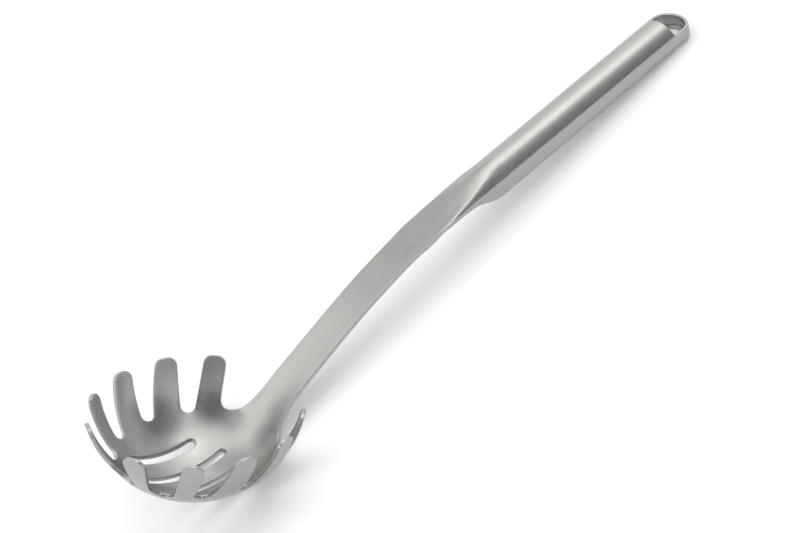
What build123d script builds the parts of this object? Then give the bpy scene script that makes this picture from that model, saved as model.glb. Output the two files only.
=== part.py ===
from build123d import *
from math import acos, asin, atan, atan2, cos, degrees, hypot, radians, sin, sqrt, tan
import os

# Pasta server in stainless sheet, built of four welded pieces: a slotted bowl with tines and its
# neck, the two half shells of a hollow grip, and the plate that closes the grip behind its eye.
# It is drawn in millimetres in the bowl's own frame: the origin is the centre of the bowl's
# sphere, +Z stands square to the plane of the tine tips and +X runs towards the grip. The last
# step lays the finished pieces down as they lie on a table.

# Bowl: radius to the middle of the sheet, angles counted up the wall from the bowl's floor
bowl_radius = 42.0
sheet = 1.6
tip_angle = 78.0
tip_round_share = 0.425

# Gaps between tines: place round the rim, place on the floor from which the gap fans out, and
# the radius of its round bottom. Its cutter narrows to a point just behind the bowl's centre
gap_azimuths = (56.8, 84.4, 112.2, 141.6, 180.0)
gap_fan_angles = (7.0, 11.0, 17.0, 17.0, 0.0)
gap_rounds = (3.0, 3.0, 3.0, 4.6, 9.0)
gap_bottom_angle = 46.3
gap_draw_angle = 62.0
gap_flare = 7.0
gap_apex_back = 1.0

# Throat: the open bay between the neck and the nearest tine, from the neck round to the tine
throat_draw_angle = 55.0
throat_shares = (
    (0.193, 0.310),
    (0.216, 0.105),
    (0.252, -0.012),
    (0.316, -0.105),
    (0.388, -0.158),
    (0.470, -0.183),
    (0.545, -0.160),
    (0.597, -0.080),
    (0.740, 0.308),
)
throat_end_shares = (0.3736, 1.0)
throat_top_shares = ((1.036, 1.1), (0.193, 1.1))

# Drain slots in the bowl's floor
slot_width = 3.7
slot_pitch = 11.4
slot_setback = 3.9
long_slot = 42.6
short_slot = 30.0

# Neck: reach and rise of its joint with the grip, from the bowl's centre
neck_reach = 115.5
neck_rise = 32.8
neck_width = 16.6
neck_root_angle = 46.0
neck_leave_angle = 54.0
neck_end_slope = 27.0
neck_path_shares = ((0.125, 0.172), (0.312, 0.378), (0.604, 0.676))
root_spread_shares = (2.12, 1.80, 1.50)
root_window_share = 0.7
neck_stations_shares = (
    (0.12, 1.06, 1.5),
    (0.26, 1.0, 2.4),
    (0.42, 1.0, 5.0),
    (0.58, 1.012, 12.0),
    (0.74, 1.033, 20.0),
    (0.88, 1.053, 40.0),
)
joint_dish_share = 120.0

# Grip: both half shells meet a sheet's thickness below its rim line, which starts at the joint
grip_slope = 21.6
grip_bend_radius = 60.0
grip_length = 161.0
grip_front_width = 17.8
grip_back_width = 19.3
shell_wall = 1.4

# Upper shell: an arch that swells out of the flat neck
crown = 5.2
crown_run = 40.0
flat_power_share = 7.0
dome_power_share = 2.0
hollow_power_share = 1.25
flat_fullness_share = 0.5
dome_fullness_share = 1.0
flat_crease_share = 0.86
dome_crease_share = 0.60
knee_share = 0.28
swell_shares = (0.12, 0.24, 0.36, 0.48, 0.60, 0.72, 0.84, 0.96, 1.08)
hollow_swell_shares = (0.48, 0.60, 0.72, 0.84, 0.96, 1.08)

# Lower shell: a tray whose nose drops in an S from the upper shell
front_depth = 7.8
back_depth = 7.0
nose_start = 16.0
nose_end = 46.0
nose_edge = 0.2
nose_turn_shares = (0.57, 0.60)
belly_round = 2.0

# Hanging eye at the grip's end, and the plate that closes the hollow before it
eye_run = 13.5
loop_end_round = 11.6
loop_corner_round = 6.6
eye_lip = 1.0
plate_thickness = 1.2
plate_setback = 1.0
plate_clearance = 0.1

# Cutters pass their work by the overrun. Those of the bowl's wall reach from inside to past it, as
# shares of its radius: a gap's far end, and the near ends of its wedge and its cone
overrun = 3.0
gap_reach_shares = (1.3, 0.26, 0.52)
throat_reach_shares = (0.6, 1.3)

inner_radius = bowl_radius - sheet / 2
outer_radius = bowl_radius + sheet / 2
arch_length = grip_length - eye_run


def square_to(x, z, slope):
    """Plane square to a path in the XZ plane: local x is across, local y is up from the path."""
    run = (cos(radians(slope)), 0, sin(radians(slope)))
    return Plane(origin=(x, 0, z), x_dir=(0, 1, 0), z_dir=run)


def wall_direction(angle, azimuth):
    """Unit vector from the bowl's centre to a point of its wall."""
    a, b = radians(angle), radians(azimuth)
    return Vector(sin(a) * cos(b), sin(a) * sin(b), -cos(a))


def wall_plane(out, fan_from, reach):
    """Plane across the direction out, local y running away from the direction fan_from."""
    up = (out * fan_from.dot(out) - fan_from).normalized()
    return Plane(origin=out * reach, x_dir=up.cross(out), z_dir=out)


def gap_form(bottom):
    """Angles of a gap whose round bottom has this radius, those along it counted up the wall.

    They are the round's own half angle, its centre, the edge of the wedge that flares from it, and
    the wedge's half angle.
    """
    round_angle = bottom / (bowl_radius + gap_apex_back)
    centre_angle = gap_bottom_angle + degrees(round_angle)
    meeting = tan(radians(centre_angle - gap_draw_angle)) - round_angle / sin(radians(gap_flare))
    edge_angle = gap_draw_angle + degrees(atan(meeting))
    spread = asin(sin(round_angle) / sin(radians(centre_angle - edge_angle)))
    return round_angle, centre_angle, edge_angle, spread


def gap_half(bottom):
    """Half of a gap's width at the tine tips, where bottom is the radius of its round bottom."""
    edge_angle, spread = gap_form(bottom)[2:]
    return (bowl_radius + gap_apex_back) * atan(sin(radians(tip_angle - edge_angle)) * tan(spread))


def gap_cutter(azimuth, fan, bottom):
    """Cutter of one gap: a cone for its round bottom and a wedge that flares from it past the rim."""
    rim = wall_direction(tip_angle, azimuth)
    fan_from = wall_direction(fan, 180)
    up = (rim * fan_from.dot(rim) - fan_from).normalized()

    def along_gap(angle):
        turn = radians(angle - tip_angle)
        return rim * cos(turn) + up * sin(turn)

    apex = along_gap(gap_form(bottom)[1]) * -gap_apex_back
    far, wedge_near, cone_near = (bowl_radius * share for share in gap_reach_shares)
    round_angle, centre_angle, edge_angle, spread = gap_form(bottom)
    touch = acos(cos(radians(centre_angle - edge_angle)) / cos(round_angle))
    start_angle = edge_angle + degrees(atan(tan(touch) * cos(spread)))
    with BuildPart() as cutter:
        with BuildSketch(Plane(origin=apex, x_dir=along_gap(edge_angle + 90), z_dir=along_gap(edge_angle))):
            with BuildLine():
                low, high = wedge_near * tan(spread), far * tan(spread)
                Polyline((wedge_near, -low), (wedge_near, low), (far, high), (far, -high), close=True)
            make_face()
        extrude(amount=far, both=True)
        split(bisect_by=Plane(origin=apex, z_dir=along_gap(start_angle + 90)), keep=Keep.TOP)
        with BuildSketch(Plane(origin=apex, x_dir=along_gap(centre_angle), z_dir=up.cross(rim))):
            with BuildLine():
                low, high = cone_near * tan(round_angle), far * tan(round_angle)
                Polyline((cone_near, 0), (far, 0), (far, high), (cone_near, low), close=True)
            make_face()
        revolve(axis=Axis(apex, along_gap(centre_angle)))
    return cutter.part


def rim_point(s):
    """Place and slope of the grip's rim line at the distance s from the joint."""
    bend = grip_bend_radius * radians(neck_end_slope - grip_slope)
    turn = min(s, bend) / grip_bend_radius
    chord = 2 * grip_bend_radius * sin(turn / 2)
    middle = radians(neck_end_slope) - turn / 2
    ahead = max(s - bend, 0)
    x = neck_reach + chord * cos(middle) + ahead * cos(radians(grip_slope))
    z = neck_rise + chord * sin(middle) + ahead * sin(radians(grip_slope))
    return x, z, neck_end_slope - degrees(turn)


def grip_half(s):
    """Half of the grip's width at the distance s from the joint."""
    return (grip_front_width + (grip_back_width - grip_front_width) * s / grip_length) / 2


def arch_face(s, inset):
    """Section of the upper shell at s, or of its hollow when inset is its wall."""
    share = min(s / crown_run, 1)
    swell = share * share * (3 - 2 * share)
    power = flat_power_share + (dome_power_share - flat_power_share) * swell
    fullness = flat_fullness_share + (dome_fullness_share - flat_fullness_share) * swell
    half = grip_half(s) - inset
    foot, rise = 0, crown * swell
    if inset:
        foot, rise, power = -sheet, crown * swell + sheet - inset, power * hollow_power_share
    crease = flat_crease_share + (dome_crease_share - flat_crease_share) * swell
    knee = 1 - (1 - crease) * knee_share
    turns = (-1, -knee, -crease, 0, crease, knee, 1)
    spots = [(half * u, foot + rise * (1 - abs(u) ** power) ** fullness) for u in turns]
    base = -sheet - inset
    with BuildSketch(square_to(*rim_point(s))) as face:
        with BuildLine():
            for first in (0, 2, 4):
                if rise:
                    ThreePointArc(*spots[first : first + 3])
                else:
                    Line(spots[first], spots[first + 2])
            Polyline(spots[-1], (half, base), (-half, base), spots[0])
        make_face()
    return face.sketch


def arch_block(swell_places, end, inset):
    """The upper shell's form from its first station to its end, or its hollow, drawn in by inset."""
    faces = [arch_face(share * crown_run, inset) for share in swell_places]
    with BuildPart() as block:
        loft(sections=faces)
        loft(sections=[faces[-1], arch_face(end, inset)], ruled=True)
    return block.part


# Planes along the straight of the grip: local x is the distance s from the joint
straight_x, straight_z, straight_slope = rim_point(nose_start + nose_end)
along = Vector(cos(radians(grip_slope)), 0, sin(radians(grip_slope)))
start_point = Vector(straight_x, 0, straight_z) - along * (nose_start + nose_end)
grip_side = Plane(origin=start_point, x_dir=along, z_dir=(0, -1, 0))
flank_side = grip_side.offset(-grip_back_width)
grip_plan = Plane(origin=start_point, x_dir=along, z_dir=along.cross(Vector(0, 1, 0))).offset(-grip_back_width)


def loop_outline(start, inset):
    """Outline of the grip seen from above, from start to the round end of its loop."""
    front, taper = grip_half(start) - inset, (grip_back_width - grip_front_width) / (2 * grip_length)
    end_centre = grip_length - loop_end_round
    with BuildSketch(grip_plan) as outline:
        with BuildLine():
            end = CenterArc((end_centre, 0), loop_end_round - inset, -90, 180, mode=Mode.PRIVATE)
            sides = [IntersectingLine((start, front * side), (1, taper * side), end) for side in (-1, 1)]
            ThreePointArc(sides[0] @ 1, (grip_length - inset, 0), sides[1] @ 1)
            Line((start, front), (start, -front))
        make_face()
        fillet(outline.vertices().sort_by(Axis.X)[-2:], loop_corner_round - inset)
    return outline.sketch


def tray_block(inset, top):
    """Block in the form of the lower shell, its sides, end and floor drawn in by inset."""
    slope = (front_depth - back_depth) / (grip_length - nose_end)
    with BuildPart() as block:
        with BuildSketch(grip_side):
            with BuildLine():
                Polyline(
                    (nose_start, top),
                    (nose_start, inset - front_depth - slope * (nose_end - nose_start)),
                    (grip_length, inset - back_depth),
                    (grip_length, top),
                    close=True,
                )
            make_face()
        extrude(amount=grip_back_width, both=True)
        extrude(loop_outline(nose_start, inset), amount=2 * grip_back_width, mode=Mode.INTERSECT)
        if not inset:
            belly = block.edges().filter_by(
                lambda e: grip_side.to_local_coords(e.center()).Y < -(back_depth + belly_round) / 2
                and grip_side.to_local_coords(e.center()).X > nose_start + overrun
            )
            fillet(belly, belly_round)
        with BuildSketch(grip_side):
            with BuildLine():
                nose_high = inset - sheet - nose_edge
                nose_low = inset - front_depth
                turns = [nose_start + (nose_end - nose_start) * share for share in nose_turn_shares]
                Bezier((nose_start, nose_high), (turns[0], nose_high), (turns[1], nose_low), (nose_end, nose_low))
                deep = -front_depth - overrun
                Polyline(
                    (nose_end, nose_low),
                    (nose_end, deep),
                    (nose_start - overrun, deep),
                    (nose_start - overrun, nose_high),
                    (nose_start, nose_high),
                )
            make_face()
        extrude(amount=grip_back_width, both=True, mode=Mode.SUBTRACT)
    return block.part


# Head and neck
with BuildPart() as head_and_neck:
    with BuildSketch(Plane.XZ):
        with BuildLine():
            CenterArc((0, 0), outer_radius, -90, tip_angle)
            CenterArc((0, 0), inner_radius, -90, tip_angle)
            Line((0, -outer_radius), (0, -inner_radius))
            tip_x, tip_z = sin(radians(tip_angle)), -cos(radians(tip_angle))
            Line((inner_radius * tip_x, inner_radius * tip_z), (outer_radius * tip_x, outer_radius * tip_z))
        make_face()
    revolve(axis=Axis.Z)

    # The neck takes the place of a strip of the wall
    root_x, root_z = sin(radians(neck_root_angle)), -cos(radians(neck_root_angle))
    root_plane = square_to(inner_radius * root_x, inner_radius * root_z, neck_root_angle)
    with BuildSketch(root_plane):
        Rectangle(neck_width * root_spread_shares[0], bowl_radius * root_window_share)
    extrude(amount=bowl_radius, mode=Mode.SUBTRACT)

    # Stations of the neck: on the wall first, then along the path to the grip
    leave_x, leave_z = sin(radians(neck_leave_angle)), -cos(radians(neck_leave_angle))
    leave = (inner_radius * leave_x, inner_radius * leave_z)
    span = (neck_reach - leave[0], neck_rise - leave[1])
    waypoints = [(leave[0] + span[0] * sx, leave[1] + span[1] * sz) for sx, sz in neck_path_shares]
    with BuildLine(mode=Mode.PRIVATE) as neck_path:
        Spline(
            [leave, *waypoints, (neck_reach, neck_rise)],
            tangents=[
                (cos(radians(neck_leave_angle)), sin(radians(neck_leave_angle))),
                (cos(radians(neck_end_slope)), sin(radians(neck_end_slope))),
            ],
        )
    stations = []
    root_angles = (neck_root_angle, (neck_root_angle + neck_leave_angle) / 2, neck_leave_angle)
    for angle, spread in zip(root_angles, root_spread_shares):
        x, z = inner_radius * sin(radians(angle)), -inner_radius * cos(radians(angle))
        stations.append((square_to(x, z, angle), neck_width / 2 * spread, inner_radius))
    for place, spread, dish in neck_stations_shares:
        point, run = neck_path.line @ place, neck_path.line % place
        plane = square_to(point.X, point.Y, degrees(atan2(run.Y, run.X)))
        stations.append((plane, neck_width / 2 * spread, dish * bowl_radius))
    joint_plane = square_to(neck_reach, neck_rise, neck_end_slope)
    stations.append((joint_plane, grip_front_width / 2, joint_dish_share * bowl_radius))
    for plane, half, dish in stations:
        with BuildSketch(plane):
            with BuildLine():
                top = dish - sqrt(dish**2 - half**2)
                under = dish - sqrt((dish + sheet) ** 2 - half**2)
                ThreePointArc((-half, top), (0, 0), (half, top))
                Line((half, top), (half, under))
                ThreePointArc((half, under), (0, -sheet), (-half, under))
                Line((-half, under), (-half, top))
            make_face()
    loft()

    # Throats on both sides of the neck
    throat = wall_direction(throat_draw_angle, 0)
    floor = wall_direction(0, 0)
    for side in (1, -1):
        for share in throat_reach_shares:
            reach = share * bowl_radius
            with BuildSketch(wall_plane(throat, floor, reach)):
                with BuildLine():
                    pts = [(side * sx * reach, sy * reach) for sx, sy in throat_shares]
                    lid = [(side * sx * reach, sy * reach) for sx, sy in throat_top_shares]
                    Spline(pts, tangents=[(0, -1), (side * throat_end_shares[0], throat_end_shares[1])])
                    Polyline(pts[-1], *lid, pts[0])
                make_face()
        loft(ruled=True, mode=Mode.SUBTRACT)

    # Gaps between the tines
    for azimuth, fan, bottom in zip(gap_azimuths, gap_fan_angles, gap_rounds):
        add(gap_cutter(azimuth, fan, bottom), mode=Mode.SUBTRACT)
        if azimuth < 180:
            add(gap_cutter(-azimuth, fan, bottom), mode=Mode.SUBTRACT)

    # Drain slots, punched straight down
    with BuildSketch(Plane.XY.offset(-bowl_radius - overrun)):
        for steps, length in ((1, long_slot), (3, short_slot)):
            for side in (1, -1):
                with Locations((-slot_setback, side * steps * slot_pitch / 2)):
                    SlotOverall(length, slot_width)
    extrude(amount=bowl_radius / 2, mode=Mode.SUBTRACT)

    # Round the tips of the tines, as far as the narrowest one allows
    ring = bowl_radius * sin(radians(tip_angle))
    gaps = list(zip(gap_azimuths, gap_rounds))
    tine_widths = [
        ring * radians(b - a) - gap_half(round_a) - gap_half(round_b)
        for (a, round_a), (b, round_b) in zip(gaps, gaps[1:])
    ]
    corners = head_and_neck.edges().filter_by(
        lambda e: abs(e.length - sheet) < sheet / 100
        and abs(e.center().Z + bowl_radius * cos(radians(tip_angle))) < sheet / 10
    )
    fillet(corners, tip_round_share * min(tine_widths))

# Upper shell of the grip
with BuildPart() as grip_upper_shell:
    loft(sections=[arch_face(0, 0), arch_face(swell_shares[0] * crown_run, 0)], ruled=True)
    add(arch_block(swell_shares, arch_length, 0))
    add(arch_block(hollow_swell_shares, arch_length + overrun, shell_wall), mode=Mode.SUBTRACT)

# Lower shell of the grip, with the hanging eye through its floor
with BuildPart() as grip_lower_shell:
    add(tray_block(0, 0))
    add(tray_block(shell_wall, overrun), mode=Mode.SUBTRACT)
    with BuildSketch(grip_side):
        with BuildLine():
            Polyline((0, -sheet), (arch_length, -sheet), (arch_length, overrun), (0, overrun), close=True)
        make_face()
    extrude(amount=grip_back_width, both=True, mode=Mode.SUBTRACT)
    eye_start = arch_length - plate_setback + eye_lip
    extrude(loop_outline(eye_start, shell_wall + eye_lip), amount=2 * grip_back_width, mode=Mode.SUBTRACT)
    add(grip_upper_shell.part, mode=Mode.SUBTRACT)

# Plate that closes the hollow grip before the eye
with BuildPart() as grip_end_plate:
    add(arch_block(hollow_swell_shares, arch_length + overrun, shell_wall + plate_clearance))
    add(tray_block(shell_wall + plate_clearance, -sheet))
    plate_back = arch_length - plate_setback
    with BuildSketch(flank_side):
        with BuildLine():
            Polyline(
                (plate_back - plate_thickness, -front_depth),
                (plate_back, -front_depth),
                (plate_back, 2 * crown),
                (plate_back - plate_thickness, 2 * crown),
                close=True,
            )
        make_face()
    extrude(amount=2 * grip_back_width, mode=Mode.INTERSECT)

# Lay the server down: it rests on the bowl and on the rounded underside of the grip's end
end_x, end_z, end_slope = rim_point(grip_length - belly_round)
lift = back_depth - belly_round
heel_x = end_x + lift * sin(radians(end_slope))
heel_z = end_z - lift * cos(radians(end_slope))
tilt = degrees(atan2(heel_z, heel_x) + asin((outer_radius - belly_round) / hypot(heel_x, heel_z)))
pieces = (head_and_neck, grip_upper_shell, grip_lower_shell, grip_end_plate)
for piece in pieces:
    piece.part = piece.part.rotate(Axis.Y, tilt)
boxes = [piece.part.bounding_box() for piece in pieces]
front_end, back_end = min(box.min.X for box in boxes), max(box.max.X for box in boxes)
shift = Location((-(front_end + back_end) / 2, 0, -min(box.min.Z for box in boxes)))
for piece in pieces:
    piece.part = piece.part.moved(shift)

head_and_neck.part.label = "head_and_neck"
grip_upper_shell.part.label = "grip_upper_shell"
grip_lower_shell.part.label = "grip_lower_shell"
grip_end_plate.part.label = "grip_end_plate"

os.makedirs("parts", exist_ok=True)
export_step(head_and_neck.part, "parts/head_and_neck.step")
export_step(grip_upper_shell.part, "parts/grip_upper_shell.step")
export_step(grip_lower_shell.part, "parts/grip_lower_shell.step")
export_step(grip_end_plate.part, "parts/grip_end_plate.step")
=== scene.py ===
import math
import bmesh
import bpy
from mathutils import Matrix, Vector


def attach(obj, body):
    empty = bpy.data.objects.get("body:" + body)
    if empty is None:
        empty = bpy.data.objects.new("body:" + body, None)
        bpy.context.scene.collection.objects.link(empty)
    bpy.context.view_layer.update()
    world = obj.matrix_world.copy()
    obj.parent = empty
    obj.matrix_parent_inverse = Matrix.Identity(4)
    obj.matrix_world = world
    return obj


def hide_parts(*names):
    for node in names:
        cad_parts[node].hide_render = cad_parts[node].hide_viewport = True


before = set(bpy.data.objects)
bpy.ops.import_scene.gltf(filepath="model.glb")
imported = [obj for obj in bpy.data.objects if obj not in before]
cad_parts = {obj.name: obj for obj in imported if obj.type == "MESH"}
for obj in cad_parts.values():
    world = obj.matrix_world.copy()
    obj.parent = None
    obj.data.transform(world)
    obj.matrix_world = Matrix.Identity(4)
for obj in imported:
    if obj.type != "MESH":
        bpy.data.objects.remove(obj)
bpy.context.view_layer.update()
MM = 0.001

# Camera, fitted to the photograph: its place in mm and its directions
CAMERA_PLACE = (-265.558, -484.458, 499.701)
CAMERA_RIGHT = (0.678864, -0.66307, -0.315408)
CAMERA_UP = (0.651225, 0.34528, 0.675786)
CAMERA_AHEAD = (0.339189, 0.664169, -0.666206)
SENSOR, LENS, CLIP_START = 36, 81, 0.01

# Edges, in mm. Copies of the nodes get the eased edges of the real, tumbled sheet
SHARP = math.radians(33)
WELD = 0.03             # points nearer to each other than this are one
SHORTEST = 0.36         # shortest piece of an edge that gets rounded
NEAR_EDGE = 0.42        # free points nearer than this to such an edge give it room
EASE = 0.26             # free edges of the sheet
SHOULDER = 1.0          # where the grip's dome meets its side
PLATE_EASE = 0.15       # end plate
EASE_SEGMENTS = 2
NORMAL_WEIGHT = 60      # how much more a large face counts than a small one in the shading

# Grip, in mm: s runs along its rim line from the neck, h stands square over that line
GRIP_START = Vector((-0.345, 0, 20.764))
GRIP_ALONG = Vector((0.996245, 0, -0.086573))
GRIP_UP = Vector((0.086573, 0, 0.996245))
SHEET = 1.6
JOINT_X, JOINT_REACH = -0.355, 0.1          # plane where the neck meets the grip
ARCH_END = 147.5                            # s of the upper shell's end
NOSE_START, NOSE_END = 16.0, 46.0           # s of the lower shell's nose
HALF_WIDTH, HALF_WIDTH_GAIN = 8.9, 0.00466  # at s = 0, and per mm of s
END_REACH, SIDE_REACH = 1.0, 0.1            # how far an end and a side count as such
FADE_START, FADE_RUN = 2.0, 5.0             # s over which the flat front's rounding fades out
SWELL_START, SWELL_RUN = 11.0, 30.0         # s over which the dome's shoulder swells
EYE_REACH, SEAM_DEPTH = 0.2, 0.6            # eye's wall, and the seam between the shells
NOSE_EASE_SHARE = 0.15                      # the nose's rounding as a share of its depth

# Nose of the lower shell: how far it moves towards the neck, in mm, from which depth, and over
# which shares of its length the move grows and fades
NOSE_FORWARD, PRESS_DEPTH = 5.0, 0.25
PRESS_GROWS, PRESS_FADES = 0.6, 0.8

# Satin steel: noise scales per metre along X, Y and Z, and what the noises drive
FINE_SCALE, FINE_DETAIL, FINE_PLACE = (60, 3000, 3000), 3, 0
BROAD_SCALE, BROAD_DETAIL, BROAD_PLACE = (45, 1500, 1500), 2, 5
CLOUD_SCALE, CLOUD_DETAIL, CLOUD_PLACE = (60, 60, 60), 2, 9
NOISE_ROUGHNESS, NOISE_LOW, NOISE_HIGH = 0.6, 0.3, 0.7
STEEL_DARK, STEEL_LIGHT = (0.37, 0.365, 0.355, 1), (0.395, 0.39, 0.378, 1)
STEEL_ROUGHNESS = (0.265, 0.315)
BUMP_STRENGTH, BUMP_HEIGHT = 0.09, 0.00004

# Floor: half its side in metres, its colour, and the glow that lifts it to white where it is seen
FLOOR_HALF = 3.0
FLOOR_COLOUR, FLOOR_ROUGHNESS = (0.9, 0.9, 0.9, 1), 0.9
FLOOR_GLOW = 0.16

# Studio: strength at the horizon and overhead, and the angles from the zenith that they hold to
HORIZON, OVERHEAD = 0.95, 1.7
HORIZON_ANGLE, OVERHEAD_ANGLE = 88, 50
# Each part of the ceiling: azimuth, height, outer and inner half angle, how it scales the light
CEILING = (
    (-121, 69, 26, 13, 0.09),
    (-135, 26, 35, 12, 0.36),
    (-46, 32, 31, 11, 0.19),
    (-45, 5, 24, 8, 0.55),
    (-12, 28, 24, 10, 0.50),
    (-100, 15, 45, 20, 0.72),
    (0, 53, 20, 7, 1.45),
    (64, 42, 20, 5, 0.50),
    (103, 32, 17, 5, 0.38),
    (142, 74, 17, 5, 0.42),
)


def in_scene(name, data):
    """New object with this data, linked to the scene."""
    thing = bpy.data.objects.new(name, data)
    bpy.context.scene.collection.objects.link(thing)
    return thing


def tree_of(owner):
    owner.use_nodes = True
    return owner.node_tree


def calculated(tree, operation, one, other):
    """Output of a maths node that takes an output and either an output or a number."""
    node = tree.nodes.new("ShaderNodeMath")
    node.operation = operation
    tree.links.new(one, node.inputs[0])
    if isinstance(other, float):
        node.inputs[1].default_value = other
    else:
        tree.links.new(other, node.inputs[1])
    return node.outputs["Value"]


def ranged(tree, source, from_range, to_range, interpolation="LINEAR"):
    """Output of source with one range of values brought to another."""
    node = tree.nodes.new("ShaderNodeMapRange")
    node.interpolation_type = interpolation
    node.inputs["From Min"].default_value, node.inputs["From Max"].default_value = from_range
    node.inputs["To Min"].default_value, node.inputs["To Max"].default_value = to_range
    tree.links.new(source, node.inputs["Value"])
    return node.outputs["Result"]


# Rounded edges. Each ease function gives the width of an edge's rounding in mm, 0 for an edge
# that stays sharp, such as one of a ground seam, and None for one that stays smooth.
def smooth(t):
    t = min(max(t, 0), 1)
    return t * t * (3 - 2 * t)


def grip_place(edge):
    """The grip's s and h of an edge's middle."""
    middle = (edge.verts[0].co + edge.verts[1].co) / 2 / MM - GRIP_START
    return middle.dot(GRIP_ALONG), middle.dot(GRIP_UP)


def at_joint(edge):
    return all(abs(v.co.x / MM - JOINT_X) < JOINT_REACH for v in edge.verts)


def ease_head(edge):
    return 0 if at_joint(edge) else EASE


def ease_upper(edge):
    s, h = grip_place(edge)
    if at_joint(edge) or (h < -SHEET / 2 and s > NOSE_START - END_REACH):
        return 0
    if s > ARCH_END - END_REACH:
        return EASE
    side = HALF_WIDTH + HALF_WIDTH_GAIN * s - SIDE_REACH
    if min(abs(v.co.y) / MM for v in edge.verts) < side:
        return None
    if h < -SHEET / 2:
        return EASE
    front = EASE * (1 - smooth((s - FADE_START) / FADE_RUN))
    return front + SHOULDER * smooth((s - SWELL_START) / SWELL_RUN) or None


def ease_lower(edge):
    s, h = grip_place(edge)
    if s > ARCH_END - EYE_REACH:
        return EASE
    return 0 if h > -SHEET - SEAM_DEPTH else min(EASE, NOSE_EASE_SHARE * (-h - SHEET))


def ease_plate(edge):
    return PLATE_EASE


def make_room(bm, ease):
    """Take out the points that lie too near to an edge that gets rounded."""
    rounded = {e for e in bm.edges if e.calc_face_angle(0) > SHARP and ease(e)}
    ends = [v for v in bm.verts if any(e in rounded for e in v.link_edges)]
    bmesh.ops.remove_doubles(bm, verts=ends, dist=SHORTEST * MM)
    sharp = [e for e in bm.edges if e.calc_face_angle(0) > SHARP]
    fixed = {v for e in sharp for v in e.verts}
    near = set()
    for edge in sharp:
        if not ease(edge):
            continue
        a, b = (v.co for v in edge.verts)
        for end in edge.verts:
            for link in end.link_edges:
                free = link.other_vert(end)
                if free in fixed:
                    continue
                share = (free.co - a).dot(b - a) / (b - a).length_squared
                share = min(max(share, 0), 1)
                if (free.co - a.lerp(b, share)).length < NEAR_EDGE * MM:
                    near.add(free)
    bmesh.ops.dissolve_verts(bm, verts=[v for v in bm.verts if v in near])
    bmesh.ops.triangulate(bm, faces=[f for f in bm.faces if len(f.verts) > 3])


def press_nose(bm):
    """Move the S of the lower shell's nose towards the neck, because the photo's is steeper."""
    for vert in bm.verts:
        place = vert.co / MM - GRIP_START
        share = (place.dot(GRIP_ALONG) - NOSE_START) / (NOSE_END - NOSE_START)
        if place.dot(GRIP_UP) < -SHEET - PRESS_DEPTH:
            move = smooth(share / PRESS_GROWS) * (1 - smooth((share - 1) / PRESS_FADES))
            vert.co -= GRIP_ALONG * (NOSE_FORWARD * move * MM)


def eased(name, ease):
    """Copy of a CAD node with rounded edges, which replaces it."""
    mesh = bpy.data.meshes.new(name + "_finished")
    bm = bmesh.new()
    bm.from_mesh(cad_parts[name].data)
    bmesh.ops.remove_doubles(bm, verts=bm.verts, dist=WELD * MM)
    bmesh.ops.dissolve_degenerate(bm, edges=bm.edges, dist=WELD * MM)
    make_room(bm, ease)
    weights = bm.edges.layers.float.new("bevel_weight_edge")
    for face in bm.faces:
        face.smooth = True
    for edge in bm.edges:
        width = ease(edge) if edge.calc_face_angle(0) > SHARP else None
        if width is not None:
            edge[weights] = width / SHOULDER
            edge.smooth = width > 0
    if name == "grip_lower_shell":
        press_nose(bm)
    bm.to_mesh(mesh)
    bm.free()
    piece = in_scene(name + "_finished", mesh)
    bevel = piece.modifiers.new("eased", "BEVEL")
    bevel.limit_method = "WEIGHT"
    bevel.offset_type = "OFFSET"
    bevel.width = SHOULDER * MM
    bevel.segments = EASE_SEGMENTS
    bevel.use_clamp_overlap = False
    soft = piece.modifiers.new("normals", "WEIGHTED_NORMAL")
    soft.keep_sharp = True
    soft.mode = "FACE_AREA_WITH_ANGLE"
    soft.weight = NORMAL_WEIGHT
    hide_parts(name)
    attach(piece, "root")
    return piece


def steel(name):
    """Satin stainless steel, brushed along the server."""
    mat = bpy.data.materials.new(name)
    tree = tree_of(mat)
    nodes, links = tree.nodes, tree.links
    shader = nodes["Principled BSDF"]
    place = nodes.new("ShaderNodeTexCoord").outputs["Object"]

    def noise(scale, detail, seed):
        mapping = nodes.new("ShaderNodeMapping")
        mapping.inputs["Scale"].default_value = scale
        mapping.inputs["Location"].default_value = (seed, seed, seed)
        links.new(place, mapping.inputs["Vector"])
        texture = nodes.new("ShaderNodeTexNoise")
        texture.inputs["Scale"].default_value = 1
        texture.inputs["Detail"].default_value = detail
        texture.inputs["Roughness"].default_value = NOISE_ROUGHNESS
        links.new(mapping.outputs["Vector"], texture.inputs["Vector"])
        return texture.outputs["Fac"]

    def driven(source, low, high):
        return ranged(tree, source, (NOISE_LOW, NOISE_HIGH), (low, high))

    fine = noise(FINE_SCALE, FINE_DETAIL, FINE_PLACE)
    broad = noise(BROAD_SCALE, BROAD_DETAIL, BROAD_PLACE)
    cloud = noise(CLOUD_SCALE, CLOUD_DETAIL, CLOUD_PLACE)

    colour = nodes.new("ShaderNodeMix")
    colour.data_type = "RGBA"
    # The node's colour sockets share their names with its number and vector sockets
    dark, light, mixed = colour.inputs[6], colour.inputs[7], colour.outputs[2]
    dark.default_value, light.default_value = STEEL_DARK, STEEL_LIGHT
    share = calculated(tree, "ADD", driven(broad, 0, 0.5), driven(cloud, 0, 0.5))
    links.new(share, colour.inputs["Factor"])
    links.new(mixed, shader.inputs["Base Color"])
    shader.inputs["Metallic"].default_value = 1.0
    links.new(driven(broad, *STEEL_ROUGHNESS), shader.inputs["Roughness"])

    bump = nodes.new("ShaderNodeBump")
    bump.inputs["Strength"].default_value = BUMP_STRENGTH
    bump.inputs["Distance"].default_value = BUMP_HEIGHT
    links.new(fine, bump.inputs["Height"])
    links.new(bump.outputs["Normal"], shader.inputs["Normal"])
    return mat


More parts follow.
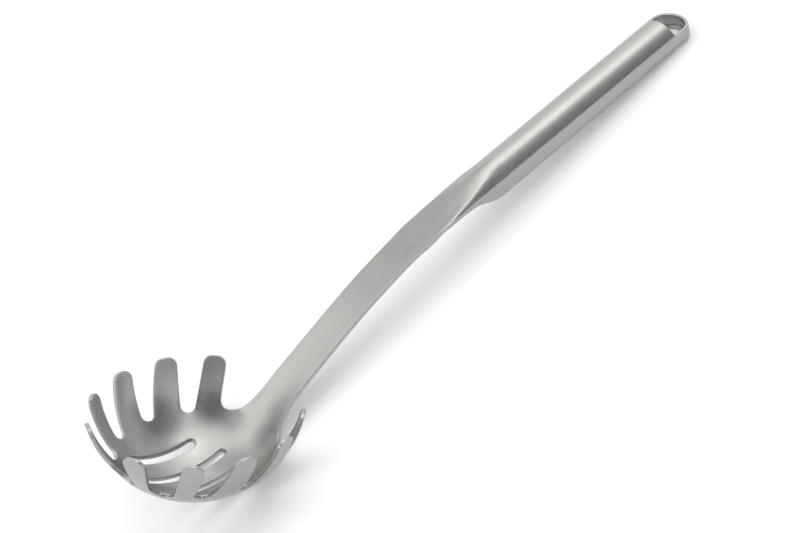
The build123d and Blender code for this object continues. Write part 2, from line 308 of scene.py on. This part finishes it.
def floor_white():
    """Pale floor that glows where it is seen, which lifts it to white and keeps the shadow."""
    paint = bpy.data.materials.new("floor_white")
    tree = tree_of(paint)
    shader = tree.nodes["Principled BSDF"]
    shader.inputs["Base Color"].default_value = FLOOR_COLOUR
    shader.inputs["Roughness"].default_value = FLOOR_ROUGHNESS
    shader.inputs["Specular IOR Level"].default_value = 0.0
    path = tree.nodes.new("ShaderNodeLightPath")
    seen = path.outputs["Is Camera Ray"]
    for kind in ("Is Glossy Ray", "Is Transmission Ray"):
        seen = calculated(tree, "MAXIMUM", seen, path.outputs[kind])
    shader.inputs["Emission Color"].default_value = (1, 1, 1, 1)
    glow = calculated(tree, "MULTIPLY", seen, FLOOR_GLOW)
    tree.links.new(glow, shader.inputs["Emission Strength"])
    return paint


def aim(azimuth, height):
    """Direction from its azimuth, from +X towards +Y, and its height over the horizon."""
    a, h = math.radians(azimuth), math.radians(height)
    return math.cos(h) * math.cos(a), math.cos(h) * math.sin(a), math.sin(h)


def lobe(tree, way, towards, wide, narrow, low, high):
    """Value that goes from low to high as way nears towards, between two half angles."""
    dot = tree.nodes.new("ShaderNodeVectorMath")
    dot.operation = "DOT_PRODUCT"
    tree.links.new(way, dot.inputs[0])
    dot.inputs[1].default_value = Vector(towards).normalized()
    cosines = math.cos(math.radians(wide)), math.cos(math.radians(narrow))
    return ranged(tree, dot.outputs["Value"], cosines, (low, high), "SMOOTHSTEP")


def studio():
    """World that stands for a white room whose ceiling has soft bright and dark parts."""
    world = bpy.data.worlds.new("studio")
    tree = tree_of(world)
    way = tree.nodes.new("ShaderNodeTexCoord").outputs["Generated"]
    level = lobe(tree, way, (0, 0, 1), HORIZON_ANGLE, OVERHEAD_ANGLE, HORIZON, OVERHEAD)
    for azimuth, height, wide, narrow, gain in CEILING:
        part = lobe(tree, way, aim(azimuth, height), wide, narrow, 1, gain)
        level = calculated(tree, "MULTIPLY", level, part)
    background = tree.nodes["Background"]
    background.inputs["Color"].default_value = (1, 1, 1, 1)
    tree.links.new(level, background.inputs["Strength"])
    return world


data = bpy.data.cameras.new("camera")
data.sensor_width, data.lens, data.clip_start = SENSOR, LENS, CLIP_START
camera = in_scene("camera", data)
axes = Vector(CAMERA_RIGHT), Vector(CAMERA_UP), -Vector(CAMERA_AHEAD)
pose = Matrix(axes).transposed().to_4x4()
pose.translation = Vector(CAMERA_PLACE) * MM
camera.matrix_world = pose
bpy.context.scene.camera = camera

satin = steel("satin_steel")
for name, ease in (("head_and_neck", ease_head), ("grip_upper_shell", ease_upper),
                   ("grip_lower_shell", ease_lower), ("grip_end_plate", ease_plate)):
    eased(name, ease).data.materials.append(satin)

mesh = bpy.data.meshes.new("floor")
corners = [(x * FLOOR_HALF, y * FLOOR_HALF, 0) for x, y in ((-1, -1), (1, -1), (1, 1), (-1, 1))]
mesh.from_pydata(corners, [], [(0, 1, 2, 3)])
mesh.materials.append(floor_white())
floor = in_scene("floor", mesh)

bpy.context.scene.world = studio()
view = bpy.context.scene.view_settings
view.view_transform = "Standard"
